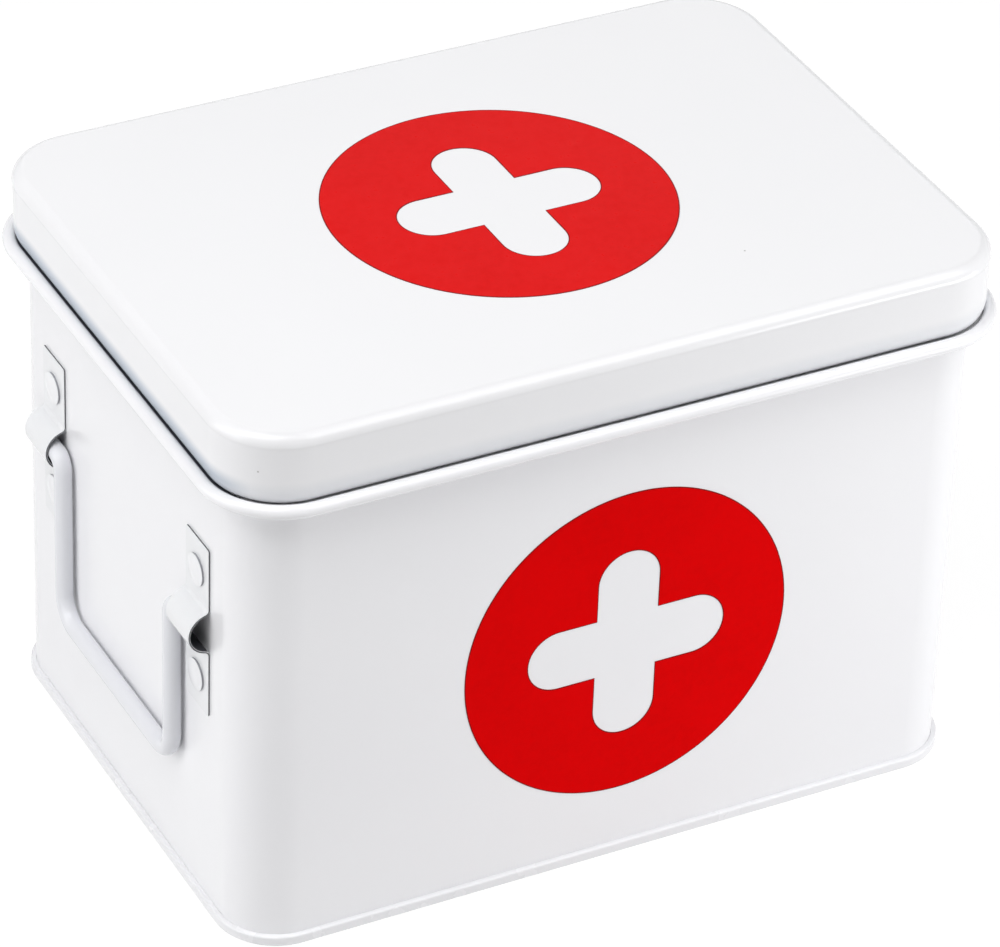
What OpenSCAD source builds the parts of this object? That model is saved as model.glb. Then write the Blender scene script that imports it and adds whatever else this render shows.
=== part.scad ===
// White enamelled first aid tin with a lift-off lid and two wire handles.
// X runs along the tin, the front faces -Y, and the origin is the centre of the foot on the table.

/* [Body] */
// Length of the body, outside its wall
body_l = 215; // [160:1:320]
// Depth of the body, outside its wall
body_w = 152; // [130:1:240]
// Outside radius of the upright corners
corner_r = 16; // [8:0.5:30]
// Thickness of the body sheet
wall_t = 0.5; // [0.3:0.1:0.8]
// Height of the gutter's floor above the table
gutter_z = 140.4; // [134:0.1:170]
// Width of the lock seam inside the back of the wall
lock_seam_w = 6; // [3:0.5:10]

/* [Gutter round the top] */
// How far the rolled bead stands out from the wall
bead_out = 7.1; // [6.7:0.1:9]
// Radius of the rolled bead along the gutter's edge
bead_r = 1.9; // [1.4:0.05:2]
// Height of the bead's centre above the gutter's floor
bead_rise = 0.2; // [0:0.1:0.7]
// Radius of the bend where the wall turns out to the gutter
turn_out_r = 1.5; // [0.8:0.1:2]

/* [Base] */
// Height of the seam round the foot
foot_h = 3; // [2.6:0.1:6]
// How far the foot's seam stands out from the wall
foot_out = 1.5; // [1.2:0.1:3]
// Depth of the groove in the foot that the wall stands in
foot_groove = 1.8; // [1:0.1:2]
// Rounding of the foot seam's edges
foot_round = 0.6; // [0.3:0.05:0.6]
// Thickness of the base sheet
base_t = 0.5; // [0.4:0.1:0.6]
// Height of the base panel's flat border above the table
base_rise = 1.4; // [1:0.1:1.6]
// Width of the flat border inside the foot
base_border = 10; // [5:0.5:20]
// How far the middle of the base is pressed up
base_step = 0.6; // [0.3:0.1:0.8]

/* [Neck] */
// Thickness of the neck's sheet
neck_t = 0.5; // [0.3:0.1:0.8]
// How far the neck reaches down inside the wall
neck_lap = 12; // [6:0.5:16]
// Radius of the rolled edge on top of the neck
neck_roll_r = 0.9; // [0.8:0.1:1.5]

/* [Lid] */
// Height of the lid from the foot of its skirt to its top
lid_h = 20.2; // [14:0.2:30]
// How far the skirt stands out from the body's wall
lid_out = 4.1; // [3.8:0.1:4.5]
// Thickness of the lid's sheet
lid_t = 0.5; // [0.3:0.1:0.8]
// Rounding between the top and the skirt
lid_edge_r = 3.4; // [1.2:0.1:4]
// Radius of the soft inward turn at the lower end of the skirt
tuck_r = 8; // [5:0.5:12]
// Angle through which the skirt's lower end turns inward
tuck_angle = 25; // [15:1:30]
// Radius of the rolled hem at the foot of the skirt
hem_r = 1.2; // [0.9:0.1:1.4]
// Height of the foot of the skirt above the gutter's floor
lid_foot_rise = 1.4; // [0.8:0.1:3]

/* [Brackets] */
// Width of a bracket's strap
strap_w = 14; // [9:0.5:20]
// Thickness of the strap
strap_t = 0.6; // [0.4:0.1:1]
// Height of the strap's lower end above the table
strap_low = 62.5; // [50:0.5:66]
// Height of the strap's upper end above the table
strap_high = 114.5; // [112:0.5:122]
// Distance between the two brackets of one end, centre to centre
bracket_span = 92.6; // [80:0.2:98]
// Radius of the bends where the loop leaves the strap
loop_bend_r = 1.2; // [0.8:0.1:2]

/* [Rivets] */
// Diameter of a rivet's head
rivet_head_d = 9; // [6:0.5:9]
// Height of a rivet's head
rivet_head_h = 1; // [0.6:0.1:1.4]
// Height of the crown on the head
rivet_crown = 0.4; // [0.2:0.1:0.5]
// Diameter of a rivet's shank
rivet_d = 4; // [3:0.1:4.5]
// Diameter of the clinched end inside the tin
rivet_tail_d = 6.5; // [5.5:0.5:8]
// Thickness of the clinched end
rivet_tail_h = 0.8; // [0.5:0.1:1.2]
// Height of the upper rivets above the loop's centre
rivet_up = 15.8; // [14:0.2:17]
// Depth of the lower rivets below the loop's centre
rivet_down = 17.2; // [14:0.2:17.4]

/* [Handles] */
// Diameter of the wire
wire_d = 5; // [3:0.1:6]
// Height of the wire's pivot above the table
pivot_z = 89; // [88:0.5:92]
// Drop from the pivot to the centre of the grip
bail_drop = 51; // [30:0.5:54]
// Gap between an arm of the bail and the edge of the strap beside it
arm_gap = 1.3; // [0.8:0.1:4]
// Bend radius at the lower corners, on the wire's centre line
grip_bend_r = 8; // [5:0.5:14]
// Length of wire inside the loop
pin_in = 8; // [5:0.5:9]

/* [Printed marks] */
// Diameter of the printed discs
mark_d = 95; // [60:1:110]
// Span of the plus sign left white in a disc
plus_span = 58; // [30:1:58]
// Width of an arm of the plus sign
plus_arm = 18; // [8:1:18]
// Thickness of the print
print_t = 0.1; // [0.05:0.05:0.3]
// Height of the front mark's centre above the table
front_mark_z = 68.5; // [60:0.5:75]
// Offset of the front mark along the tin
front_mark_x = 2; // [-15:0.5:15]

/* [Fits] */
// Clearance between sheets that are seamed together
seam_gap = 0.05; // [0.02:0.01:0.1]
// Clearance round a rivet's shank
rivet_gap = 0.05; // [0.03:0.01:0.1]
// Clearance round the wire, and between the lid and what carries it
slack = 0.3; // [0.2:0.05:0.5]

/* [Hidden] */
$fn = 96;

enamel = [0.95, 0.95, 0.96];
shade_enamel = [0.88, 0.88, 0.91];
wire_enamel = [0.92, 0.93, 0.95];
rivet_enamel = [0.9, 0.9, 0.93];
print_red = [0.82, 0.05, 0.05];

lid_foot_z = gutter_z + lid_foot_rise;
lid_top_z = lid_foot_z + lid_h;
hem_z = lid_foot_z + hem_r;
hem_c = lid_out - tuck_r + (tuck_r - hem_r) * cos(tuck_angle);
tuck_z = hem_z + (tuck_r - hem_r) * sin(tuck_angle);
tuck_drop = tuck_r * sin(tuck_angle);
neck_top_z = lid_top_z - lid_t - slack;
neck_low_z = gutter_z - neck_lap;
sheet_in = -wall_t - seam_gap;
under_z = gutter_z - wall_t;
turn_z = under_z - turn_out_r;
bead_c = bead_out - bead_r;
groove_floor = foot_h - foot_groove;
foot_in = sheet_in - base_t;
lock_seam_t = wall_t;
lock_seam_low = foot_h + seam_gap;
lock_seam_high = neck_low_z - seam_gap;

pivot_out = wire_d / 2 + slack;
loop_r_in = pivot_out + wire_d / 2 + slack;
loop_r_out = loop_r_in + strap_t;
bend_c_out = strap_t + loop_bend_r;
bend_c_rise = sqrt(pow(loop_r_out + loop_bend_r, 2) - pow(bend_c_out, 2));

loop_y = bracket_span / 2 - strap_w / 2;
pin_bend_r = arm_gap + wire_d / 2;
arm_y = loop_y - pin_bend_r;

// Upright rounded rectangle, l by w, with corners of radius r
module rounded_plan(l, w, r) {
    square([l - 2 * r, w], center = true);
    square([l, w - 2 * r], center = true);
    for (x = [-1, 1], y = [-1, 1]) {
        translate([x * (l / 2 - r), y * (w / 2 - r)]) circle(r);
    }
}

// Flat plate whose edge lies a distance out from the body's wall
module plate(out, z, t) {
    translate([0, 0, z]) {
        linear_extrude(height = t) {
            rounded_plan(body_l + 2 * out, body_w + 2 * out, corner_r + out);
        }
    }
}

// Carries a section right round the tin: the section's x is the distance out from the wall, its y the height
module around_tin() {
    side_l = body_l - 2 * corner_r;
    side_w = body_w - 2 * corner_r;
    for (turn = [0, 180]) {
        rotate([0, 0, turn]) {
            translate([body_l / 2, side_w / 2, 0]) rotate([90, 0, 0]) linear_extrude(height = side_w) children();
            translate([-side_l / 2, body_w / 2, 0]) rotate([90, 0, 90]) linear_extrude(height = side_l) children();
            translate([side_l / 2, side_w / 2, 0]) rotate_extrude(angle = 90) translate([corner_r, 0]) children();
            translate([-side_l / 2, side_w / 2, 0]) {
                rotate([0, 0, 90]) rotate_extrude(angle = 90) translate([corner_r, 0]) children();
            }
        }
    }
}

// Section bar from one distance out to another, between two heights
module bar(out_a, out_b, z_a, z_b) {
    translate([out_a, z_a]) square([out_b - out_a, z_b - z_a]);
}

// Ring of sheet about a point of the section, from its outside radius inward
module sheet_ring(out, z, r, t) {
    translate([out, z]) {
        difference() {
            circle(r);
            circle(r - t);
        }
    }
}

// Section of the body: wall, the bend outward, the gutter's floor and the rolled bead
module wall_section() {
    bar(-wall_t, 0, groove_floor + seam_gap, turn_z);
    intersection() {
        sheet_ring(turn_out_r, turn_z, turn_out_r + wall_t, wall_t);
        bar(-wall_t, turn_out_r, turn_z, gutter_z);
    }
    bar(turn_out_r, bead_c, under_z, gutter_z);
    translate([bead_c, gutter_z + bead_rise]) circle(bead_r);
}

// Places something at each rivet of one bracket: its x points out of the wall
module at_rivets() {
    for (rise = [rivet_up, -rivet_down]) {
        translate([0, 0, pivot_z + rise]) rotate([0, 90, 0]) children();
    }
}

// Moves a piece drawn at the wall, with x out of the wall, to one bracket's place: end and side are 1 or -1
module at_bracket(end, side) {
    mirror([end < 0 ? 1 : 0, 0, 0]) translate([body_l / 2, side * bracket_span / 2, 0]) children();
}

module rivet_holes(depth) {
    at_rivets() cylinder(h = depth, d = rivet_d + 2 * rivet_gap, center = true);
}

module body_wall() {
    color(enamel) {
        difference() {
            union() {
                around_tin() wall_section();
                translate([-lock_seam_w / 2, body_w / 2 - wall_t - lock_seam_t, lock_seam_low]) {
                    cube([lock_seam_w, wall_t + lock_seam_t, lock_seam_high - lock_seam_low]);
                }
            }
            for (end = [-1, 1], side = [-1, 1]) {
                at_bracket(end, side) rivet_holes(4 * wall_t);
            }
        }
    }
}

// Rounded seam section of the foot, with the groove that the wall's lower edge stands in
module foot_section() {
    difference() {
        union() {
            bar(foot_in, foot_out - foot_round, 0, foot_h);
            bar(foot_in, foot_out, foot_round, foot_h - foot_round);
            for (z = [foot_round, foot_h - foot_round]) {
                translate([foot_out - foot_round, z]) circle(foot_round);
            }
        }
        bar(sheet_in, seam_gap, groove_floor, foot_h + foot_round);
    }
}

// Flat frame between two distances out from the wall
module frame(out, inner, z, t) {
    difference() {
        plate(out, z, t);
        plate(inner, z - t, 3 * t);
    }
}

module base_panel() {
    border_in = foot_in - base_border;
    field_z = base_rise + base_step;
    color(shade_enamel) {
        around_tin() foot_section();
        frame(foot_in + base_t / 2, border_in, base_rise, base_t);
        frame(border_in + base_t, border_in, base_rise, base_step + base_t);
        plate(border_in + base_t / 2, field_z, base_t);
    }
}

// Section of the neck: an upright strip with an inward roll along its top
module neck_section() {
    bar(sheet_in - neck_t, sheet_in, neck_low_z, neck_top_z - neck_roll_r);
    translate([sheet_in - neck_roll_r, neck_top_z - neck_roll_r]) circle(neck_roll_r);
}

module neck_ring() {
    color(enamel) around_tin() neck_section();
}

// Section of the lid's edge: rolled hem, inward turn, skirt and the round above it
module skirt_section() {
    round_c = lid_top_z - lid_edge_r;
    translate([hem_c, hem_z]) circle(hem_r);
    intersection() {
        sheet_ring(lid_out - tuck_r, tuck_z, tuck_r, lid_t);
        bar(hem_c, lid_out, tuck_z - tuck_drop, tuck_z);
    }
    bar(lid_out - lid_t, lid_out, tuck_z, round_c);
    intersection() {
        sheet_ring(lid_out - lid_edge_r, round_c, lid_edge_r, lid_t);
        bar(lid_out - lid_edge_r, lid_out, round_c, lid_top_z);
    }
}

module lid_shell() {
    color(enamel) {
        around_tin() skirt_section();
        plate(lid_out - lid_edge_r, lid_top_z - lid_t, lid_t);
    }
}

// One arm of the plus sign, with round ends
module plus_bar() {
    square([plus_span - plus_arm, plus_arm], center = true);
    for (x = [-1, 1]) {
        translate([x * (plus_span - plus_arm) / 2, 0]) circle(plus_arm / 2);
    }
}

module mark() {
    linear_extrude(height = print_t) {
        difference() {
            circle(mark_d / 2);
            plus_bar();
            rotate(90) plus_bar();
        }
    }
}

module lid_mark() {
    color(print_red) translate([0, 0, lid_top_z]) mark();
}

module front_mark() {
    color(print_red) translate([front_mark_x, -body_w / 2, front_mark_z]) rotate([90, 0, 0]) mark();
}

// Triangle between the loop's centre, the centre of its upper bend and the wall beside that bend
module bend_corner() {
    polygon([[0, 0], [bend_c_out, bend_c_rise], [0, bend_c_rise]]);
}

// Corner that a bend leaves filled, within a distance of the bend's centre line
module bend_fill(r) {
    difference() {
        bend_corner();
        translate([bend_c_out, bend_c_rise]) circle(r);
    }
}

// Outline of a strap seen from its edge: x out of the wall, y up from the pivot's height
module strap_outline() {
    difference() {
        union() {
            bar(0, strap_t, strap_low - pivot_z, strap_high - pivot_z);
            intersection() {
                circle(loop_r_out);
                bar(0, loop_r_out, -loop_r_out, loop_r_out);
            }
            for (flip = [0, 1]) {
                mirror([0, flip]) bend_fill(loop_bend_r);
            }
        }
        circle(loop_r_in);
        for (flip = [0, 1]) {
            mirror([0, flip]) bend_fill(loop_bend_r + strap_t);
        }
    }
}

module bracket(end, side) {
    color(shade_enamel) {
        at_bracket(end, side) {
            difference() {
                translate([0, strap_w / 2, pivot_z]) {
                    rotate([90, 0, 0]) linear_extrude(height = strap_w) strap_outline();
                }
                rivet_holes(4 * strap_t);
            }
        }
    }
}

// One rivet with its head's seat at the strap's face and its axis along z
module rivet() {
    crown_r = (pow(rivet_head_d / 2, 2) + pow(rivet_crown, 2)) / (2 * rivet_crown);
    grip = strap_t + wall_t;
    translate([0, 0, strap_t]) {
        intersection() {
            cylinder(h = rivet_head_h, d = rivet_head_d);
            translate([0, 0, rivet_head_h - crown_r]) sphere(crown_r);
        }
    }
    translate([0, 0, strap_t - grip]) cylinder(h = grip, d = rivet_d);
    translate([0, 0, strap_t - grip - rivet_tail_h]) cylinder(h = rivet_tail_h, d = rivet_tail_d);
}

module rivets(end, side) {
    color(rivet_enamel) at_bracket(end, side) at_rivets() rivet();
}

// Straight wire from one point of the bail's plane along an angle
module wire(x, y, angle, length) {
    translate([x, y, 0]) rotate([0, 0, angle]) rotate([0, 90, 0]) cylinder(h = length, d = wire_d);
}

// Quarter bend of the wire about a centre, from an angle on
module wire_bend(x, y, r, from) {
    translate([x, y, 0]) rotate([0, 0, from]) rotate_extrude(angle = 90) translate([r, 0]) circle(wire_d / 2);
}

// Half of a bail in its own plane: x along the tin's depth, y up from the pivot
module half_bail() {
    wire(loop_y, 0, 0, pin_in);
    wire_bend(loop_y, -pin_bend_r, pin_bend_r, 90);
    wire(arm_y, -pin_bend_r, -90, bail_drop - pin_bend_r - grip_bend_r);
    wire_bend(arm_y - grip_bend_r, grip_bend_r - bail_drop, grip_bend_r, -90);
    wire(0, -bail_drop, 0, arm_y - grip_bend_r);
}

module bail(end) {
    color(wire_enamel) {
        translate([end * (body_l / 2 + pivot_out), 0, pivot_z]) rotate([90, 0, 90]) {
            half_bail();
            mirror([1, 0, 0]) half_bail();
        }
    }
}

body_wall();
base_panel();
neck_ring();
lid_shell();
lid_mark();
front_mark();
bracket(-1, -1);  // left_front_bracket
bracket(-1, 1);  // left_back_bracket
bracket(1, -1);  // right_front_bracket
bracket(1, 1);  // right_back_bracket
rivets(-1, -1);  // left_front_rivets
rivets(-1, 1);  // left_back_rivets
rivets(1, -1);  // right_front_rivets
rivets(1, 1);  // right_back_rivets
bail(-1);  // left_bail
bail(1);  // right_bail
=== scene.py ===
import math

import bmesh
import bpy
from mathutils import Matrix, Vector


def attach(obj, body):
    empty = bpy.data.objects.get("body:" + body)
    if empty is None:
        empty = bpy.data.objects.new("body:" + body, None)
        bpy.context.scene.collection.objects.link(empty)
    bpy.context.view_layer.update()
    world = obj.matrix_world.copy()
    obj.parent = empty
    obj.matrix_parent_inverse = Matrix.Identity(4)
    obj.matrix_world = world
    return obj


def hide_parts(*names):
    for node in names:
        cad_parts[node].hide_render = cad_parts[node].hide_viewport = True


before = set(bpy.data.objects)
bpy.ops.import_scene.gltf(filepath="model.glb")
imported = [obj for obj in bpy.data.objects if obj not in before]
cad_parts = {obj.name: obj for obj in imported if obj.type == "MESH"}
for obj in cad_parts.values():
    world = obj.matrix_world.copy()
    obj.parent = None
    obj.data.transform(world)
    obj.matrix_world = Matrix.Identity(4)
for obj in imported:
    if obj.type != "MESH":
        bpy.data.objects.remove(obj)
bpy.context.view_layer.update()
print("frame loaded")

mm = 0.001  # every size below is in millimetres, as in the frame's own source
tiny = 0.000002  # points closer than this are one point

# What all the sheet pieces share: the plan of the tin and how finely its corners are turned
tin = {
    "length": 215,
    "depth": 152,
    "cornerRadius": 16,
    "sheet": 0.5,
    "cornerSteps": 20,
    "smoothBelow": 38,  # degrees between two faces that still shade as one
    "sharpAbove": 60,  # degrees between two faces whose edge is rounded off
}


# Camera

camera = {
    "place": (-0.59000, -1.10734, 0.92049),
    "turn": (56.0319, -1.8087, -26.9630),  # degrees
    "sensor": 36,
    "lens": 200.47,
    "near": 0.05,  # metres
    "far": 20,
}


def placeCamera():
    data = bpy.data.cameras.new("photoCamera")
    data.sensor_width = camera["sensor"]
    data.lens = camera["lens"]
    data.clip_start = camera["near"]
    data.clip_end = camera["far"]
    eye = bpy.data.objects.new("photoCamera", data)
    eye.location = camera["place"]
    eye.rotation_euler = [math.radians(angle) for angle in camera["turn"]]
    bpy.context.scene.collection.objects.link(eye)
    bpy.context.scene.camera = eye


placeCamera()
print("camera placed")


# Materials


def linearColour(code):
    # an sRGB hex value as the linear colour that the shader wants
    channels = [int(code[i : i + 2], 16) / 255 for i in (1, 3, 5)]
    return [c / 12.92 if c <= 0.04045 else ((c + 0.055) / 1.055) ** 2.4 for c in channels] + [1]


def startMaterial(name):
    material = bpy.data.materials.new(name)
    material.use_nodes = True
    tree = material.node_tree
    tree.nodes.clear()
    return material, tree


def addNode(tree, kind, settings=None, links=None):
    # settings name a property or an input, links name an input and the output it takes
    node = tree.nodes.new(kind)
    for key, value in (settings or {}).items():
        if isinstance(key, int) or key in node.inputs:
            node.inputs[key].default_value = value
        else:
            setattr(node, key, value)
    for key, (source, output) in (links or {}).items():
        tree.links.new(source.outputs[output], node.inputs[key])
    return node


def perMetre(feature):
    # noise scale that gives features of that many millimetres
    return 1 / (feature * mm)


# painted shade and reflection along the foot of the lid's skirt, where it turns in over the gutter
paintedFootShade = {
    "colour": "#B6BFCA",
    "full": 145,  # height up to which the shade is whole
    "gone": 148.8,
    "front": 0.18,  # share of it on the front and the back
    "facingEnds": 0.72,  # how far a corner faces the end before its share grows
}


def paintFootShade(tree, place, painted):
    # painted shade and reflection: a bluish darkening along the foot of the lid's skirt, deeper at the two
    # ends of the tin
    level = addNode(tree, "ShaderNodeSeparateXYZ", None, {"Vector": (place, "Object")})
    fade = addNode(tree, "ShaderNodeMapRange",
                   {"interpolation_type": "SMOOTHSTEP", "From Min": paintedFootShade["full"] * mm,
                    "From Max": paintedFootShade["gone"] * mm, "To Min": 1, "To Max": 0},
                   {"Value": (level, "Z")})
    facing = addNode(tree, "ShaderNodeSeparateXYZ", None, {"Vector": (place, "Normal")})
    endOn = addNode(tree, "ShaderNodeMath", {"operation": "ABSOLUTE"}, {0: (facing, "X")})
    share = addNode(tree, "ShaderNodeMapRange",
                    {"From Min": paintedFootShade["facingEnds"], "To Min": paintedFootShade["front"], "To Max": 1},
                    {"Value": (endOn, "Value")})
    amount = addNode(tree, "ShaderNodeMath", {"operation": "MULTIPLY"},
                     {0: (fade, "Result"), 1: (share, "Result")})
    return addNode(tree, "ShaderNodeMix", {"data_type": "RGBA", 7: linearColour(paintedFootShade["colour"])},
                   {0: (amount, "Value"), 6: (painted, 2)})


enamelGrain = {
    "clouds": 70,  # sizes of the patterns in millimetres
    "cloudBreak": 0.5,
    "specksApart": 26,
    "speckWhole": 0.006,  # in cells: a speck is whole within this and gone past the next
    "speckGone": 0.014,
    "speckStrength": 0.8,
    "speckColour": "#8F8C88",
    "peelDepth": 0.006,
    "peelBreak": 0.55,
    "waves": 45,
    "waveDepth": 0.12,
    "gloss": 12,
    "glossDetail": 4,
    "glossLow": 0.85,  # shares of the roughness between which the gloss wanders
    "glossHigh": 1.2,
    "index": 1.5,
}
noiseBand = {"From Min": 0.3, "From Max": 0.7}  # the part of its range that a noise really fills


def stovedEnamel(name, light, shade, roughness, peel=1.6, withPaintedFootShade=False):
    # stoved white enamel on pressed sheet: soft gloss, a faint orange peel, the odd speck under the paint
    grain = enamelGrain
    material, tree = startMaterial(name)
    place = addNode(tree, "ShaderNodeTexCoord")
    clouds = addNode(tree, "ShaderNodeTexNoise",
                     {"Scale": perMetre(grain["clouds"]), "Detail": 2, "Roughness": grain["cloudBreak"]},
                     {"Vector": (place, "Object")})
    tint = addNode(tree, "ShaderNodeMix",
                   {"data_type": "RGBA", 6: linearColour(light), 7: linearColour(shade)},
                   {0: (clouds, "Fac")})
    cells = addNode(tree, "ShaderNodeTexVoronoi", {"Scale": perMetre(grain["specksApart"])},
                    {"Vector": (place, "Object")})
    speck = addNode(tree, "ShaderNodeMapRange",
                    {"From Min": grain["speckWhole"], "From Max": grain["speckGone"],
                     "To Min": grain["speckStrength"], "To Max": 0},
                    {"Value": (cells, "Distance")})
    painted = addNode(tree, "ShaderNodeMix", {"data_type": "RGBA", 7: linearColour(grain["speckColour"])},
                      {0: (speck, "Result"), 6: (tint, 2)})
    # the lid alone gets the painted shade along its skirt's foot
    if withPaintedFootShade:
        painted = paintFootShade(tree, place, painted)
    peelNoise = addNode(tree, "ShaderNodeTexNoise",
                        {"Scale": perMetre(peel), "Detail": 2, "Roughness": grain["peelBreak"]},
                        {"Vector": (place, "Object")})
    peelBump = addNode(tree, "ShaderNodeBump", {"Strength": 1, "Distance": grain["peelDepth"] * mm},
                       {"Height": (peelNoise, "Fac")})
    waves = addNode(tree, "ShaderNodeTexNoise", {"Scale": perMetre(grain["waves"]), "Detail": 1},
                    {"Vector": (place, "Object")})
    waveBump = addNode(tree, "ShaderNodeBump", {"Strength": 1, "Distance": grain["waveDepth"] * mm},
                       {"Height": (waves, "Fac"), "Normal": (peelBump, "Normal")})
    gloss = addNode(tree, "ShaderNodeTexNoise",
                    {"Scale": perMetre(grain["gloss"]), "Detail": grain["glossDetail"]},
                    {"Vector": (place, "Object")})
    glossRange = addNode(tree, "ShaderNodeMapRange",
                         {**noiseBand, "To Min": roughness * grain["glossLow"],
                          "To Max": roughness * grain["glossHigh"]},
                         {"Value": (gloss, "Fac")})
    shader = addNode(tree, "ShaderNodeBsdfPrincipled", {"IOR": grain["index"]},
                     {"Base Color": (painted, 2), "Roughness": (glossRange, "Result"),
                      "Normal": (waveBump, "Normal")})
    addNode(tree, "ShaderNodeOutputMaterial", None, {"Surface": (shader, "BSDF")})
    return material


inkGrain = {
    "mottle": 2.2,  # sizes of the patterns in millimetres
    "mottleDetail": 4,
    "mottleBreak": 0.7,
    "clouds": 30,
    "deepFrom": 0.12,  # where both patterns together begin and end to turn the ink deep
    "deepFull": 0.42,
    "relief": 0.012,
    "sheenLow": 0.8,  # shares of the roughness between which the sheen wanders
    "sheenHigh": 1.3,
    "index": 1.48,
}


def printedInk(name, colour, deep, roughness, mirror):
    # red screen ink on the enamel: one flat dense pass that mirrors little, slightly mottled by the mesh
    grain = inkGrain
    material, tree = startMaterial(name)
    place = addNode(tree, "ShaderNodeTexCoord")
    mottle = addNode(tree, "ShaderNodeTexNoise",
                     {"Scale": perMetre(grain["mottle"]), "Detail": grain["mottleDetail"],
                      "Roughness": grain["mottleBreak"]},
                     {"Vector": (place, "Object")})
    clouds = addNode(tree, "ShaderNodeTexNoise", {"Scale": perMetre(grain["clouds"]), "Detail": 2},
                     {"Vector": (place, "Object")})
    both = addNode(tree, "ShaderNodeMath", {"operation": "MULTIPLY"},
                   {0: (mottle, "Fac"), 1: (clouds, "Fac")})
    spread = addNode(tree, "ShaderNodeMapRange",
                     {"From Min": grain["deepFrom"], "From Max": grain["deepFull"]},
                     {"Value": (both, "Value")})
    blend = addNode(tree, "ShaderNodeMix",
                    {"data_type": "RGBA", 6: linearColour(colour), 7: linearColour(deep)},
                    {0: (spread, "Result")})
    bump = addNode(tree, "ShaderNodeBump", {"Strength": 1, "Distance": grain["relief"] * mm},
                   {"Height": (mottle, "Fac")})
    sheen = addNode(tree, "ShaderNodeMapRange",
                    {**noiseBand, "To Min": roughness * grain["sheenLow"],
                     "To Max": roughness * grain["sheenHigh"]},
                    {"Value": (mottle, "Fac")})
    shader = addNode(tree, "ShaderNodeBsdfPrincipled",
                     {"IOR": grain["index"], "Specular IOR Level": mirror},
                     {"Base Color": (blend, 2), "Roughness": (sheen, "Result"), "Normal": (bump, "Normal")})
    addNode(tree, "ShaderNodeOutputMaterial", None, {"Surface": (shader, "BSDF")})
    return material


enamel = {
    "body": stovedEnamel("bodyEnamel", "#F4F4F6", "#F0F0F3", 0.2),
    "lid": stovedEnamel("lidEnamel", "#F0F0F2", "#EDEDEF", 0.18, withPaintedFootShade=True),
    # painted shade: dark grey in the gutter at the two ends, to deepen the slit between lid and bead
    "gutter": stovedEnamel("paintedShadeInGutter", "#5E6068", "#4E5058", 0.35),
    "base": stovedEnamel("baseEnamel", "#F0F0F2", "#EBEBEE", 0.24),
    # the brackets and the wire have a greyer white than the body: painted shade, for the deeper shading of
    # these small round pieces
    "bracket": stovedEnamel("bracketEnamel", "#EDEEF0", "#E9EAEC", 0.2, peel=0.9),
    # the straps' sheared edges: partly thin paint on the cut edge, partly painted shade for the shadow gap
    # along the wall
    "edge": stovedEnamel("shearedEdgeAndPaintedShade", "#5A5B60", "#46474C", 0.35, peel=0.5),
    # painted shade: the sides of the rivet heads are grey, for the shadow round their rims
    "rivetRimShade": stovedEnamel("paintedShadeOnRivetRim", "#A6A7AD", "#8E8F96", 0.3, peel=0.5),
    # painted shade: the inside of the bracket loops is dark grey
    "loopShade": stovedEnamel("paintedShadeInsideLoop", "#4C4D52", "#3C3D41", 0.5, peel=0.5),
    # the wire's two ends, inside the loops, are a mid grey
    "tip": stovedEnamel("greyWireTip", "#77787C", "#66676B", 0.4, peel=0.5),
    "rivet": stovedEnamel("rivetEnamel", "#F2F2F4", "#EDEEF1", 0.18, peel=0.8),
    "wire": stovedEnamel("wireEnamel", "#E7E8EC", "#E1E2E7", 0.16, peel=0.8),
}
ink = {
    "lidFace": printedInk("redLidInk", "#E30406", "#DA0304", 0.32, 0.05),
    "frontFace": printedInk("redFrontInk", "#E30104", "#DA0103", 0.32, 0.015),
    "rim": printedInk("redInkRim", "#8C0A10", "#7A080C", 0.4, 0.05),
}
print("materials made")


# Section tools: a section is drawn as one line, then carried round the tin


def wallPoint(out, up):
    # out from the wall's face and up from the table, at the front end of the right-hand side
    return Vector((tin["length"] / 2 + out, tin["cornerRadius"] - tin["depth"] / 2, up)) * mm


def draw(bm, moves, place, axis):
    # moves: ("start", out, up), ("line", out, up) and ("arc", centre out, centre up, degrees, steps)
    tip = None
    for kind, out, up, *turn in moves:
        if kind == "start":
            tip = bmesh.ops.create_vert(bm, co=place(out, up))["vert"][0]
        elif kind == "line":
            made = bmesh.ops.extrude_vert_indiv(bm, verts=[tip])
            tip = made["verts"][0]
            tip.co = place(out, up)
        else:
            degrees, steps = turn
            made = bmesh.ops.spin(bm, geom=[tip], cent=place(out, up), axis=axis,
                                  angle=math.radians(degrees), steps=steps)
            tip = [item for item in made["geom_last"] if isinstance(item, bmesh.types.BMVert)][0]
    bmesh.ops.remove_doubles(bm, verts=bm.verts, dist=tiny)


def carry(bm, ring, travel=None, centre=(0, 0, 0), axis=(0, 0, 1), degrees=0, steps=1):
    # one spin call moves a section along a straight or round a bend and leaves its last place
    made = bmesh.ops.spin(bm, geom=ring, cent=centre, axis=axis, dvec=travel or (0, 0, 0),
                          angle=math.radians(degrees), steps=steps)
    return made["geom_last"]


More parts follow.
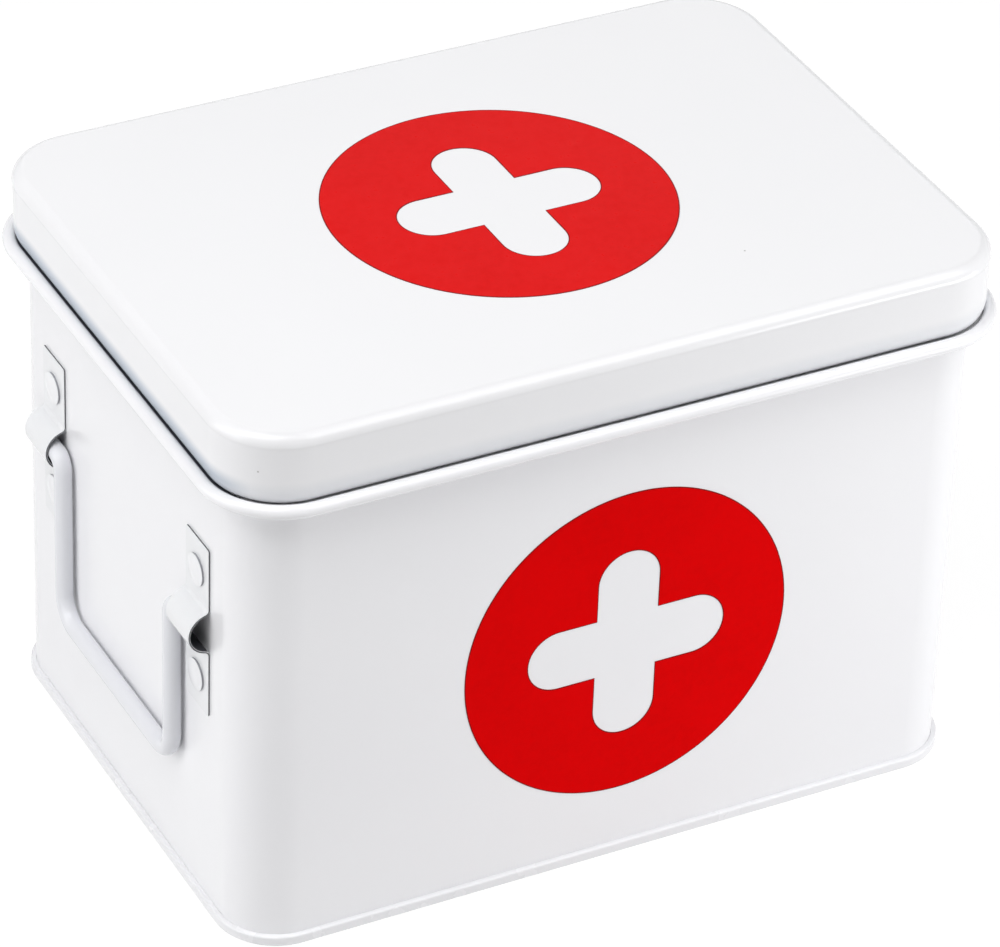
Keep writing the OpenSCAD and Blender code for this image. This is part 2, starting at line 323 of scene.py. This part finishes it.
def carryRound(bm, backStops=()):
    # right side, back, left side, front: a straight and then a corner each time
    halfLength = (tin["length"] / 2 - tin["cornerRadius"]) * mm
    halfDepth = (tin["depth"] / 2 - tin["cornerRadius"]) * mm
    sides = [
        ((0, 1, 0), 2 * halfDepth, (halfLength, halfDepth, 0)),
        ((-1, 0, 0), 2 * halfLength, (-halfLength, halfDepth, 0)),
        ((0, -1, 0), 2 * halfDepth, (-halfLength, -halfDepth, 0)),
        ((1, 0, 0), 2 * halfLength, (halfLength, -halfDepth, 0)),
    ]
    ring = bm.verts[:] + bm.edges[:]
    for direction, distance, corner in sides:
        stops = [distance]
        if backStops and direction == (-1, 0, 0):
            edge = distance / 2 - sum(backStops) * mm / 2
            stops = [edge] + [stop * mm for stop in backStops] + [edge]
        for stop in stops:
            ring = carry(bm, ring, travel=Vector(direction) * stop)
        ring = carry(bm, ring, centre=corner, degrees=90, steps=tin["cornerSteps"])
    bmesh.ops.remove_doubles(bm, verts=bm.verts, dist=tiny)


def sharpEdges(bm):
    limit = math.radians(tin["sharpAbove"])
    return [e for e in bm.edges if len(e.link_faces) == 2 and e.calc_face_angle() > limit]


def finishPiece(bm, name, body, nodes, materials, flat=True):
    bmesh.ops.recalc_face_normals(bm, faces=bm.faces)
    mesh = bpy.data.meshes.new(name)
    bm.to_mesh(mesh)
    bm.free()
    mesh.shade_smooth()
    mesh.set_sharp_from_angle(angle=math.radians(tin["smoothBelow"]))
    for material in materials:
        mesh.materials.append(material)
    piece = bpy.data.objects.new(name, mesh)
    bpy.context.scene.collection.objects.link(piece)
    if flat:
        keepFlat = piece.modifiers.new("keepFlatFacesFlat", "WEIGHTED_NORMAL")
        keepFlat.keep_sharp = True
    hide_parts(*nodes)
    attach(piece, body)
    print(name, len(mesh.polygons), "faces")
    return piece


# Body: the wall turns out to the floor of a gutter that ends in a rolled bead, all in one sheet

body = {
    "wallFoot": 1.25,
    "gutter": 140.4,  # top of the gutter's floor
    "turnOut": 1.5,
    "beadOut": 5.2,
    "beadUp": 140.6,
    "beadRadius": 1.9,
    "gutterShadeUp": 0.8,  # at both ends the painted shade in the gutter reaches this far above the bead's centre
    "gutterShadeIn": 0.9,  # and stays this far inside it
    "seamStops": (0.6, 0.6),  # two strips either side of the back seam's line
    "seamDepth": 0.28,
    "seamWidth": 6,
    "seamSunk": 0.3,  # how far under the wall's face the seam's strip begins
    "seamBevel": 0.2,
    "seamLow": 3.05,
    "seamHigh": 128.35,
}


def outFromWall(point):
    # how far a point lies outside the plan of the wall
    corner = tin["cornerRadius"] * mm
    along = max(abs(point.x) - tin["length"] / 2 * mm + corner, 0)
    across = max(abs(point.y) - tin["depth"] / 2 * mm + corner, 0)
    return math.hypot(along, across) - corner


def buildBody():
    bm = bmesh.new()
    sheet = tin["sheet"]
    turn = body["turnOut"]
    under = body["gutter"] - sheet
    turnUp = under - turn
    # how far round the bead the underside and the top of the floor meet it, below its centre
    underAngle = math.asin((body["beadUp"] - under) / body["beadRadius"])
    topAngle = math.asin((body["beadUp"] - body["gutter"]) / body["beadRadius"])
    meetOut = body["beadOut"] - body["beadRadius"] * math.cos(underAngle)
    beadTurn = 360 - math.degrees(underAngle - topAngle)
    moves = [
        ("start", 0, body["wallFoot"]),
        ("line", 0, turnUp),
        ("arc", turn, turnUp, -90, 8),
        ("line", meetOut, under),
        ("arc", body["beadOut"], body["beadUp"], beadTurn, 40),
        ("line", turn, body["gutter"]),
        ("arc", turn, turnUp, 90, 8),
        ("line", -sheet, body["wallFoot"]),
        ("line", 0, body["wallFoot"]),
    ]
    draw(bm, moves, wallPoint, (0, -1, 0))
    carryRound(bm, backStops=body["seamStops"])
    # painted shade: at both ends the gutter's floor and the inside of the bead go dark grey
    floorUp = body["gutter"] * mm - tiny
    gutterShadeTop = (body["beadUp"] + body["gutterShadeUp"]) * mm
    gutterShadeOut = (body["beadOut"] - body["gutterShadeIn"]) * mm
    for f in bm.faces:
        middle = f.calc_center_median()
        atEnd = abs(middle.x) > tin["length"] / 2 * mm
        if atEnd and floorUp < middle.z < gutterShadeTop and outFromWall(middle) < gutterShadeOut:
            f.material_index = 1
    back = tin["depth"] / 2 * mm
    seamLine = [v for v in bm.verts if abs(v.co.x) < tiny and abs(v.co.y - back) < tiny]
    bmesh.ops.translate(bm, verts=seamLine, vec=(0, -body["seamDepth"] * mm, 0))
    strip = bmesh.ops.create_cube(bm, size=1)["verts"]
    height = body["seamHigh"] - body["seamLow"]
    middleUp = (body["seamLow"] + body["seamHigh"]) / 2
    stripIn = tin["depth"] / 2 - sheet - body["seamSunk"] / 2
    thick = 2 * sheet - body["seamSunk"]
    bmesh.ops.scale(bm, verts=strip, vec=Vector((body["seamWidth"], thick, height)) * mm)
    bmesh.ops.translate(bm, verts=strip, vec=Vector((0, stripIn, middleUp)) * mm)
    stripEdges = [e for e in bm.edges if e.verts[0] in strip]
    bmesh.ops.bevel(bm, geom=stripEdges, offset=body["seamBevel"] * mm, segments=2, profile=0.5,
                    affect="EDGES", material=-1)
    finishPiece(bm, "bodyWallSheet", "tin", ["body_wall"], [enamel["body"], enamel["gutter"]])


buildBody()


# Base: seam round the foot, flat border and pressed-up middle

base = {
    "footOut": 1.5,
    "footHigh": 3,
    "footRound": 0.6,
    "grooveIn": -0.55,
    "grooveOut": 0.05,
    "grooveFloor": 1.2,
    "footIn": -1.05,
    "border": 1.4,
    "stepAt": -11.05,
    "fieldUp": 2,
    "fieldFrom": -14.5,
}


def buildBase():
    bm = bmesh.new()
    sheet = tin["sheet"]
    edge = base["footOut"] - base["footRound"]
    low = base["footRound"]
    high = base["footHigh"] - base["footRound"]
    moves = [
        ("start", base["fieldFrom"], base["fieldUp"]),
        ("line", base["stepAt"], base["fieldUp"]),
        ("line", base["stepAt"], base["border"]),
        ("line", base["footIn"], base["border"]),
        ("line", base["footIn"], 0),
        ("line", edge, 0),
        ("arc", edge, low, 90, 7),
        ("line", base["footOut"], high),
        ("arc", edge, high, 90, 7),
        ("line", base["grooveOut"], base["footHigh"]),
        ("line", base["grooveOut"], base["grooveFloor"]),
        ("line", base["grooveIn"], base["grooveFloor"]),
        ("line", base["grooveIn"], base["footHigh"]),
        ("line", base["footIn"], base["footHigh"]),
        ("line", base["footIn"], base["border"] + sheet),
        ("line", base["stepAt"] + sheet, base["border"] + sheet),
        ("line", base["stepAt"] + sheet, base["fieldUp"] + sheet),
        ("line", base["fieldFrom"], base["fieldUp"] + sheet),
    ]
    draw(bm, moves, wallPoint, (0, -1, 0))
    carryRound(bm)
    bmesh.ops.holes_fill(bm, edges=bm.edges, sides=0)
    finishPiece(bm, "pressedBase", "tin", ["base_panel"], [enamel["base"]])


buildBase()


# Neck: the collar inside the lid

neck = {"face": -0.55, "low": 128.4, "rollUp": 160.3, "rollRadius": 0.9}


def buildNeck():
    bm = bmesh.new()
    sheet = tin["sheet"]
    radius = neck["rollRadius"]
    rollOut = neck["face"] - radius
    inner = neck["face"] - sheet
    meet = math.acos((inner - rollOut) / radius)
    moves = [
        ("start", neck["face"], neck["low"]),
        ("line", neck["face"], neck["rollUp"]),
        ("arc", rollOut, neck["rollUp"], 360 - math.degrees(meet), 22),
        ("line", inner, neck["low"]),
        ("line", neck["face"], neck["low"]),
    ]
    draw(bm, moves, wallPoint, (0, -1, 0))
    carryRound(bm)
    finishPiece(bm, "rolledNeck", "tin", ["neck_ring"], [enamel["body"]])


buildNeck()


# Lid: drawn cover with a rounded edge and an inward rolled hem

lid = {
    "top": 162,
    "skirtOut": 4.1,
    "edgeRadius": 3.4,
    "edgeProud": 0.2,
    "edgeRun": 0.8,
    "tuckRadius": 8,
    "tuckAngle": 25,
    "hemUp": 143,
    "hemRadius": 1.2,
    "panelFrom": -13,
}


def buildLid():
    bm = bmesh.new()
    sheet = tin["sheet"]
    radius = lid["edgeRadius"]
    roundOut = lid["skirtOut"] - radius
    roundUp = lid["top"] - radius
    inner = lid["skirtOut"] - sheet
    tuckOut = lid["skirtOut"] - lid["tuckRadius"]
    tuck = math.radians(lid["tuckAngle"])
    reach = lid["tuckRadius"] - lid["hemRadius"]
    hemOut = tuckOut + reach * math.cos(tuck)
    tuckUp = lid["hemUp"] + reach * math.sin(tuck)
    # where the inside of the turn meets the top of the hem
    ring = lid["tuckRadius"] - sheet
    turn = math.acos((ring**2 + reach**2 - lid["hemRadius"] ** 2) / (2 * ring * reach))
    back = tuck - turn
    rise = tuckUp - ring * math.sin(back) - lid["hemUp"]
    meet = math.atan2(rise, tuckOut + ring * math.cos(back) - hemOut)
    moves = [
        ("start", lid["panelFrom"], lid["top"]),
        ("line", roundOut + lid["edgeProud"], lid["top"]),
        ("arc", roundOut + lid["edgeProud"], roundUp, -90, 16),
        ("line", lid["skirtOut"], roundUp - lid["edgeRun"]),
        ("line", lid["skirtOut"], tuckUp),
        ("arc", tuckOut, tuckUp, -lid["tuckAngle"], 8),
        ("arc", hemOut, lid["hemUp"], math.degrees(meet - 2 * math.pi + tuck), 24),
        ("arc", tuckOut, tuckUp, math.degrees(back), 6),
        ("line", inner, roundUp),
        ("arc", roundOut, roundUp, 90, 8),
        ("line", lid["panelFrom"], lid["top"] - sheet),
    ]
    draw(bm, moves, wallPoint, (0, -1, 0))
    carryRound(bm)
    bmesh.ops.holes_fill(bm, edges=bm.edges, sides=0)
    finishPiece(bm, "drawnLid", "lid", ["lid_shell"], [enamel["lid"]])


buildLid()


# Printed marks

mark = {
    "across": 95,
    "span": 58,
    "arm": 18,
    "thick": 0.1,
    "rim": 0.3,
    "frontUp": 68.5,
    "frontAlong": 2,
    "steps": 200,
    "armSteps": 28,
}


def buildMark(name, body, node, inkName, move):
    # drawn flat on the table with its face up, then moved to its place
    bm = bmesh.new()
    reach = (mark["span"] - mark["arm"]) / 2
    half = mark["arm"] / 2
    moves = [("start", half, half)]
    for quarter in range(4):
        turn = Matrix.Rotation(math.radians(-90 * quarter), 2)
        outer, tip, back = [turn @ Vector(point) for point in ((reach, half), (reach, 0), (half, -half))]
        moves += [("line", *outer), ("arc", *tip, -180, mark["armSteps"]), ("line", *back)]
    draw(bm, moves, lambda x, y: Vector((x, y, 0)) * mm, (0, 0, 1))
    bmesh.ops.create_circle(bm, segments=mark["steps"], radius=mark["across"] / 2 * mm)
    bmesh.ops.triangle_fill(bm, edges=bm.edges, use_beauty=True, use_dissolve=False, normal=(0, 0, 1))
    rim = bmesh.ops.inset_region(bm, faces=bm.faces, thickness=mark["rim"] * mm, use_boundary=True)
    for face in rim["faces"]:
        face.material_index = 1
    raised = bmesh.ops.extrude_face_region(bm, geom=bm.faces[:])["geom"]
    top = [item for item in raised if isinstance(item, bmesh.types.BMVert)]
    bmesh.ops.translate(bm, verts=top, vec=(0, 0, mark["thick"] * mm))
    bmesh.ops.transform(bm, matrix=move, verts=bm.verts)
    finishPiece(bm, name, body, [node], [ink[inkName], ink["rim"]], flat=False)


buildMark("lidPrint", "lid", "lid_mark", "lidFace", Matrix.Translation((0, 0, lid["top"] * mm)))
buildMark("frontPrint", "tin", "front_mark", "frontFace",
          Matrix.Translation(Vector((mark["frontAlong"], -tin["depth"] / 2, mark["frontUp"])) * mm)
          @ Matrix.Rotation(math.radians(90), 4, "X"))


# Brackets

bracket = {
    "wide": 14,
    "sheet": 0.6,
    "pivot": 89,
    "top": 25.5,
    "foot": -26.5,
    "loopIn": 5.6,
    "bend": 1.2,
    "span": 92.6,
    "cornerRound": 0.7,
    "edgeRound": 0.12,
    "faceOn": 0.7,  # least part of a sheared face's direction that counts as square on
}


def atBracket(end, side):
    # from the bracket's own place, x out of the wall and z up from the pivot, to one end and side of the tin
    move = Matrix.Translation(Vector((tin["length"] / 2, side * bracket["span"] / 2, bracket["pivot"])) * mm)
    return Matrix.Scale(end, 4, (1, 0, 0)) @ move


def buildBracket(name, node, end, side):
    bm = bmesh.new()
    sheet = bracket["sheet"]
    loopOut = bracket["loopIn"] + sheet
    bendOut = sheet + bracket["bend"]
    bendUp = math.sqrt((loopOut + bracket["bend"]) ** 2 - bendOut**2)
    turn = math.degrees(math.atan2(bendUp, bendOut))
    moves = [
        ("start", sheet, bracket["top"]),
        ("line", sheet, bendUp),
        ("arc", bendOut, bendUp, turn, 8),
        ("arc", 0, 0, -2 * turn, 32),
        ("arc", bendOut, -bendUp, turn, 8),
        ("line", sheet, bracket["foot"]),
        ("line", 0, bracket["foot"]),
        ("line", 0, -bendUp),
        ("arc", bendOut, -bendUp, -turn, 8),
        ("arc", 0, 0, 2 * turn, 32),
        ("arc", bendOut, bendUp, -turn, 8),
        ("line", 0, bracket["top"]),
        ("line", sheet, bracket["top"]),
    ]

    def place(out, up):
        return Vector((out, -bracket["wide"] / 2, up)) * mm

    draw(bm, moves, place, (0, -1, 0))
    face = bmesh.ops.contextual_create(bm, geom=bm.edges)["faces"]
    made = bmesh.ops.extrude_face_region(bm, geom=face)["geom"]
    moved = [item for item in made if isinstance(item, bmesh.types.BMVert)]
    bmesh.ops.translate(bm, verts=moved, vec=(0, bracket["wide"] * mm, 0))
    ends = (bracket["top"] * mm, bracket["foot"] * mm)
    corners = [e for e in bm.edges if abs(e.verts[0].co.x - e.verts[1].co.x) > tiny
               and all(min(abs(v.co.z - level) for level in ends) < tiny for v in e.verts)]
    bmesh.ops.bevel(bm, geom=corners, offset=bracket["cornerRound"] * mm, segments=4, profile=0.5,
                    affect="EDGES", material=-1)
    bm.normal_update()
    inLoop = (bracket["loopIn"] + sheet / 2) * mm
    for f in bm.faces:
        middle = f.calc_center_median()
        # sheared sides and ends take the dark edge colour, which is partly painted shade
        onEnd = abs(f.normal.z) > bracket["faceOn"] and abs(middle.z) > bendUp * mm
        if abs(f.normal.y) > bracket["faceOn"] or onEnd:
            f.material_index = 1
        # painted shade: faces inside the loop go dark grey
        elif math.hypot(middle.x, middle.z) < inLoop:
            f.material_index = 2
    sharp = sharpEdges(bm)
    bmesh.ops.bevel(bm, geom=sharp, offset=bracket["edgeRound"] * mm, segments=2, profile=0.5,
                    affect="EDGES", material=0)
    bmesh.ops.transform(bm, matrix=atBracket(end, side), verts=bm.verts)
    finishPiece(bm, name, "tin", [node],
                [enamel["bracket"], enamel["edge"], enamel["loopShade"]])


# Rivets

rivet = {
    "up": (15.8, -17.2),
    "shank": 2,
    "head": 4.5,
    "headHigh": 1,
    "crown": 0.4,
    "rimRound": 0.25,
    "tail": 3.25,
    "tailHigh": 0.8,
    "turns": 48,
    "rimFacing": 0.5,  # a face that looks outward by less than this is the head's side
}


def buildRivets(name, node, end, side):
    bm = bmesh.new()
    seat = bracket["sheet"]
    inside = -tin["sheet"]
    rim = rivet["headHigh"] - rivet["crown"]
    rounding = rivet["rimRound"]
    crownRadius = (rivet["head"] ** 2 + rivet["crown"] ** 2) / (2 * rivet["crown"])
    crownTurn = math.degrees(math.asin(rivet["head"] / crownRadius))
    moves = [
        ("start", inside - rivet["tailHigh"], 0),
        ("line", inside - rivet["tailHigh"], rivet["tail"] - rounding),
        ("arc", inside - rivet["tailHigh"] + rounding, rivet["tail"] - rounding, -90, 5),
        ("line", inside, rivet["tail"]),
        ("line", inside, rivet["shank"]),
        ("line", seat, rivet["shank"]),
        ("line", seat, rivet["head"] - rounding),
        ("arc", seat + rounding, rivet["head"] - rounding, -90, 5),
        ("line", seat + rim, rivet["head"]),
        ("arc", seat + rivet["headHigh"] - crownRadius, 0, -crownTurn, 10),
    ]
    for up in rivet["up"]:
        loose = bmesh.new()

        def place(out, away):
            return Vector((out, 0, up + away)) * mm

        draw(loose, moves, place, (0, -1, 0))
        bmesh.ops.spin(loose, geom=loose.verts[:] + loose.edges[:], cent=Vector((0, 0, up)) * mm,
                       axis=(1, 0, 0), angle=math.tau, steps=rivet["turns"], use_merge=True)
        bmesh.ops.remove_doubles(loose, verts=loose.verts, dist=tiny)
        mesh = bpy.data.meshes.new("rivetPart")
        loose.to_mesh(mesh)
        loose.free()
        bm.from_mesh(mesh)
        bpy.data.meshes.remove(mesh)
    bm.normal_update()
    # painted shade: the side of each rivet head goes grey
    for f in bm.faces:
        if abs(f.normal.x) < rivet["rimFacing"] and f.calc_center_median().x > seat * mm:
            f.material_index = 1
    bmesh.ops.transform(bm, matrix=atBracket(end, side), verts=bm.verts)
    finishPiece(bm, name, "tin", [node], [enamel["rivet"], enamel["rivetRimShade"]])


for endName, end in (("left", -1), ("right", 1)):
    for sideName, side in (("front", -1), ("back", 1)):
        buildBracket(f"{endName}{sideName.capitalize()}Strap", f"{endName}_{sideName}_bracket", end, side)
        buildRivets(f"{endName}{sideName.capitalize()}RivetPair", f"{endName}_{sideName}_rivets", end, side)


# Wire handles

bail = {
    "wire": 5,
    "pivotOut": 2.8,
    "pivotUp": 89,
    "pinTip": 47.3,
    "loopAlong": 39.3,
    "pinBend": 3.8,
    "drop": 51,
    "gripBend": 8,
    "around": 28,
    "bendSteps": 14,
    "tipRound": 0.9,
}


def buildBail(name, body, node, end):
    bm = bmesh.new()
    x = (tin["length"] / 2 + bail["pivotOut"]) * mm
    arm = bail["loopAlong"] - bail["pinBend"]
    straight = bail["drop"] - bail["pinBend"] - bail["gripBend"]
    turnToWire = Matrix.Translation(Vector((0, -bail["pinTip"], bail["pivotUp"])) * mm + Vector((x, 0, 0)))
    bmesh.ops.create_circle(bm, segments=bail["around"], radius=bail["wire"] / 2 * mm, cap_ends=False,
                            matrix=turnToWire @ Matrix.Rotation(math.radians(90), 4, "X"))
    ring = bm.verts[:] + bm.edges[:]
    ring = carry(bm, ring, travel=Vector((0, bail["pinTip"] - bail["loopAlong"], 0)) * mm)
    centre = Vector((0, -bail["loopAlong"], bail["pivotUp"] - bail["pinBend"])) * mm + Vector((x, 0, 0))
    ring = carry(bm, ring, centre=centre, axis=(1, 0, 0), degrees=-90, steps=bail["bendSteps"])
    ring = carry(bm, ring, travel=Vector((0, 0, -straight)) * mm)
    gripUp = bail["pivotUp"] - bail["drop"] + bail["gripBend"]
    centre = Vector((0, -arm + bail["gripBend"], gripUp)) * mm + Vector((x, 0, 0))
    ring = carry(bm, ring, centre=centre, axis=(1, 0, 0), degrees=90, steps=bail["bendSteps"])
    ring = carry(bm, ring, travel=Vector((0, 2 * (arm - bail["gripBend"]), 0)) * mm)
    centre = Vector((0, arm - bail["gripBend"], gripUp)) * mm + Vector((x, 0, 0))
    ring = carry(bm, ring, centre=centre, axis=(1, 0, 0), degrees=90, steps=bail["bendSteps"])
    ring = carry(bm, ring, travel=Vector((0, 0, straight)) * mm)
    centre = Vector((0, bail["loopAlong"], bail["pivotUp"] - bail["pinBend"])) * mm + Vector((x, 0, 0))
    ring = carry(bm, ring, centre=centre, axis=(1, 0, 0), degrees=-90, steps=bail["bendSteps"])
    carry(bm, ring, travel=Vector((0, bail["pinTip"] - bail["loopAlong"], 0)) * mm)
    bmesh.ops.holes_fill(bm, edges=bm.edges, sides=0)
    tips = sharpEdges(bm)
    bmesh.ops.bevel(bm, geom=tips, offset=bail["tipRound"] * mm, segments=4, profile=0.5, affect="EDGES",
                    material=-1)
    tipFrom = (bail["pinTip"] - bail["tipRound"]) * mm - tiny
    for f in bm.faces:
        if abs(f.calc_center_median().y) > tipFrom:
            f.material_index = 1
    bmesh.ops.transform(bm, matrix=Matrix.Scale(end, 4, (1, 0, 0)), verts=bm.verts)
    finishPiece(bm, name, body, [node], [enamel["wire"], enamel["tip"]], flat=False)


buildBail("leftWireHandle", "left_handle", "left_bail", -1)
buildBail("rightWireHandle", "right_handle", "right_bail", 1)


# Studio

studio = {
    "floorSize": 6,  # metres, as are the lamps' places and sizes
    "floorDrop": 0.1,  # millimetres that the floor lies under the tin
    "surround": 0.08,  # strength of the light that comes from all round
    "floorTone": "#BCBCBC",  # for the light that it throws back
    "floorPale": "#F8F8F8",  # for the eye
    "floorGlow": 0.3,  # light that the table gives by itself
    "floorWhite": 0.8,  # share of plain white that the eye sees on it, and the rest is its real shading
    "lamps": {
        # name: place, size, watts, aimed at
        "overheadFront": ((0.55, -0.75, 1.15), (0.8, 0.8), 6.0, (0, 0, 0.14)),
        "overheadTop": ((0.6, -0.15, 1.5), (0.9, 0.9), 3.3, (0, 0, 0.14)),
        "overheadLeft": ((-0.6, -0.3, 1.5), (1.0, 1.0), 11.8, (0, 0, 0.15)),
        "backSoftbox": ((0.6, 1.4, 1.2), (1.2, 1.2), 3.3, (0, 0, 0.1)),
        "leftSoftbox": ((-1.3, 0.1, 1.0), (0.9, 0.9), 4.7, (0, 0, 0.1)),
        "leftLowSoftbox": ((-1.0, 0.15, 0.3), (0.8, 0.5), 2.7, (0, 0, 0.06)),
        "rightLowStrip": ((0.40, -0.40, 0.08), (0.4, 0.12), 1.0, (0.05, -0.05, 0.04)),
    },
}


def buildFloor():
    bm = bmesh.new()
    bmesh.ops.create_grid(bm, x_segments=1, y_segments=1, size=studio["floorSize"] / 2)
    mesh = bpy.data.meshes.new("paleFloor")
    bm.to_mesh(mesh)
    bm.free()
    floor = bpy.data.objects.new("paleFloor", mesh)
    floor.location.z = -studio["floorDrop"] * mm
    bpy.context.scene.collection.objects.link(floor)
    # opal table: mid grey to the light it throws back, nearly plain white to the eye and in reflections
    material, tree = startMaterial("opalLightTable")
    rays = addNode(tree, "ShaderNodeLightPath")
    seen = addNode(tree, "ShaderNodeMath", {"operation": "MAXIMUM"},
                   {0: (rays, "Is Camera Ray"), 1: (rays, "Is Glossy Ray")})
    seenAtAll = addNode(tree, "ShaderNodeMath", {"operation": "MAXIMUM"},
                        {0: (seen, "Value"), 1: (rays, "Is Transmission Ray")})
    share = addNode(tree, "ShaderNodeMath", {"operation": "MULTIPLY", 1: studio["floorWhite"]},
                    {0: (seenAtAll, "Value")})
    tone = addNode(tree, "ShaderNodeMix", {"data_type": "RGBA", 6: linearColour(studio["floorTone"]),
                                           7: linearColour(studio["floorPale"])}, {0: (seenAtAll, "Value")})
    opal = addNode(tree, "ShaderNodeBsdfDiffuse", None, {"Color": (tone, 2)})
    glow = addNode(tree, "ShaderNodeEmission", {"Strength": studio["floorGlow"]})
    lit = addNode(tree, "ShaderNodeAddShader", None, {0: (opal, "BSDF"), 1: (glow, "Emission")})
    white = addNode(tree, "ShaderNodeEmission", {"Strength": 1})
    mixed = addNode(tree, "ShaderNodeMixShader", None,
                    {0: (share, "Value"), 1: (lit, "Shader"), 2: (white, "Emission")})
    addNode(tree, "ShaderNodeOutputMaterial", None, {"Surface": (mixed, "Shader")})
    mesh.materials.append(material)


def buildWorld():
    world = bpy.data.worlds.new("whiteStudio")
    world.use_nodes = True
    bpy.context.scene.world = world
    tree = world.node_tree
    tree.nodes.clear()
    rays = addNode(tree, "ShaderNodeLightPath")
    seen = addNode(tree, "ShaderNodeMath", {"operation": "MAXIMUM"},
                   {0: (rays, "Is Camera Ray"), 1: (rays, "Is Glossy Ray")})
    seenAtAll = addNode(tree, "ShaderNodeMath", {"operation": "MAXIMUM"},
                        {0: (seen, "Value"), 1: (rays, "Is Transmission Ray")})
    around = addNode(tree, "ShaderNodeBackground", {"Strength": studio["surround"]})
    white = addNode(tree, "ShaderNodeBackground", {"Strength": 1})
    mixed = addNode(tree, "ShaderNodeMixShader", None,
                    {0: (seenAtAll, "Value"), 1: (around, "Background"), 2: (white, "Background")})
    addNode(tree, "ShaderNodeOutputWorld", None, {"Surface": (mixed, "Shader")})


def hangLamps():
    for name, (place, size, watts, target) in studio["lamps"].items():
        data = bpy.data.lights.new(name, "AREA")
        data.shape = "RECTANGLE"
        data.size, data.size_y = size
        data.energy = watts
        lamp = bpy.data.objects.new(name, data)
        lamp.location = place
        lamp.rotation_mode = "QUATERNION"
        lamp.rotation_quaternion = (Vector(target) - Vector(place)).to_track_quat("-Z", "Y")
        bpy.context.scene.collection.objects.link(lamp)


buildFloor()
buildWorld()
hangLamps()
bpy.context.scene.view_settings.view_transform = "Standard"
print("studio built")
